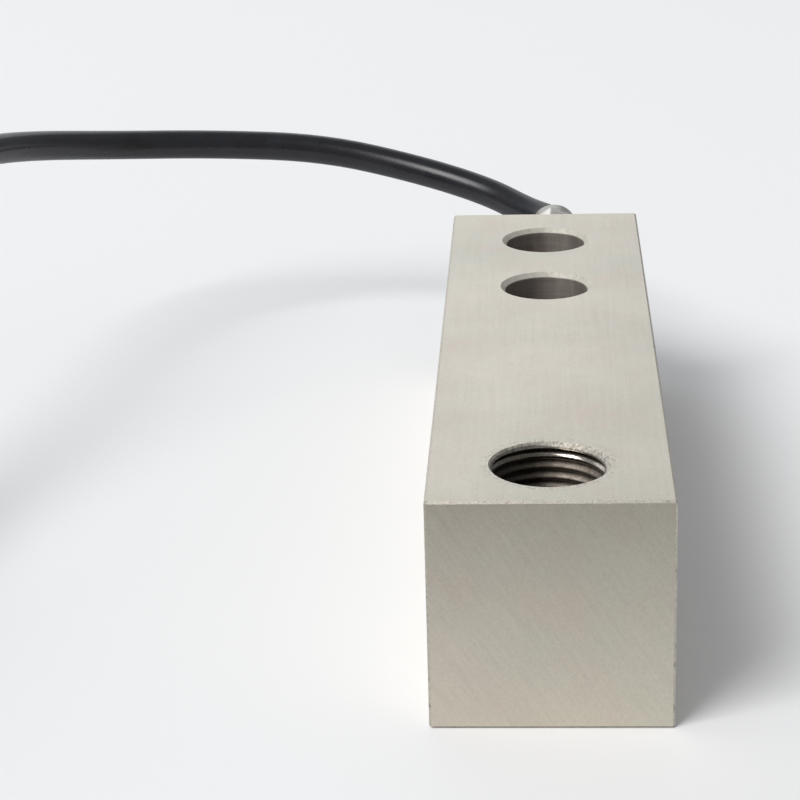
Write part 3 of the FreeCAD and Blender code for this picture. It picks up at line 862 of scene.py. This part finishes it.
# A dark card lies on the floor in front of the load end, and fades to white towards it. Only the metal's
# reflections show it, and they shade the near end of the beam's top as a dim room does.
card_grey = (0.10, 0.10, 0.10)
card_width = 1.6
card_length = 1.5
card_near = beam_low.y - 0.030
card_dark = beam_low.y - 0.108
card_lift = 0.0003
deselect_all()
bpy.ops.mesh.primitive_plane_add(size=1.0, location=(0, card_near - card_length / 2, card_lift))
card = bpy.context.object
card.name = "dark_card"
card.scale = (card_width, card_length, 1)
bpy.ops.object.transform_apply(location=True, rotation=True, scale=True)
faded = Finish("faded_card")
card_y = faded.parts(faded.place)[1]
fade = faded.span(card_y, card_dark, card_near, 1.0, 0.0)
faded.set(Base_Color=faded.blend(fade, paper_white, card_grey), Roughness=paper_roughness)
card.data.materials.append(faded.material)
card.visible_camera = False
card.visible_diffuse = False
card.visible_shadow = False


# The light is that of a plain studio: a grey room, a broad lamp at the front left that throws the shadow
# to the right, and a wide panel at the back that lights the top of the metal.
room_tint = (0.96, 0.975, 1.0, 1)
room_brightness = 0.37
panel_tint = (0.97, 1.0, 1.035)
scene.view_settings.view_transform = "Standard"
room = bpy.data.worlds.new("grey_room")
scene.world = room
room.use_nodes = True
room.node_tree.nodes["Background"].inputs["Color"].default_value = room_tint
room.node_tree.nodes["Background"].inputs["Strength"].default_value = room_brightness


def lamp(name, direction, distance, width, height, brightness, tint=(1, 1, 1)):
    """A soft rectangular lamp that faces the part, with its brightness as the part sees it."""
    light = bpy.data.lights.new(name, "AREA")
    light.shape = "RECTANGLE"
    light.size = width
    light.size_y = height
    light.energy = brightness * math.pi * width * height
    light.color = tint
    stand = bpy.data.objects.new(name, light)
    scene.collection.objects.link(stand)
    stand.location = Vector(direction).normalized() * distance
    stand.rotation_euler = (-stand.location).to_track_quat("-Z", "Y").to_euler()
    stand.visible_camera = False


lamp("key_lamp", (-0.495, -0.455, 0.743), distance=7.5, width=3.90, height=3.90, brightness=9.0)
lamp(
    "back_panel", (-0.465, 0.805, 0.37), distance=4.8, width=7.2, height=3.8, brightness=0.94, tint=panel_tint
)


# The camera stands low in front of the load end and looks along the beam, slightly from above. Its place,
# angles and lens were solved from the beam's corners and holes.
camera_place = Vector((-0.00137, -0.34427, 0.14880))
camera_yaw = math.radians(-3.491)
camera_pitch = math.radians(20.284)
camera_roll = math.radians(-1.688)
camera_data = bpy.data.cameras.new("camera")
camera_data.lens = 108.95
camera_data.sensor_width = 36.0
camera_data.sensor_fit = "HORIZONTAL"
camera = bpy.data.objects.new("camera", camera_data)
scene.collection.objects.link(camera)
forward = Vector((
    math.sin(camera_yaw) * math.cos(camera_pitch),
    math.cos(camera_yaw) * math.cos(camera_pitch),
    -math.sin(camera_pitch),
))
level_right = Vector((math.cos(camera_yaw), -math.sin(camera_yaw), 0))
level_up = level_right.cross(forward)
right = level_right * math.cos(camera_roll) + level_up * math.sin(camera_roll)
up = level_up * math.cos(camera_roll) - level_right * math.sin(camera_roll)
camera.matrix_world = Matrix((
    (right.x, up.x, -forward.x, camera_place.x),
    (right.y, up.y, -forward.y, camera_place.y),
    (right.z, up.z, -forward.z, camera_place.z),
    (0, 0, 0, 1),
))
scene.camera = camera
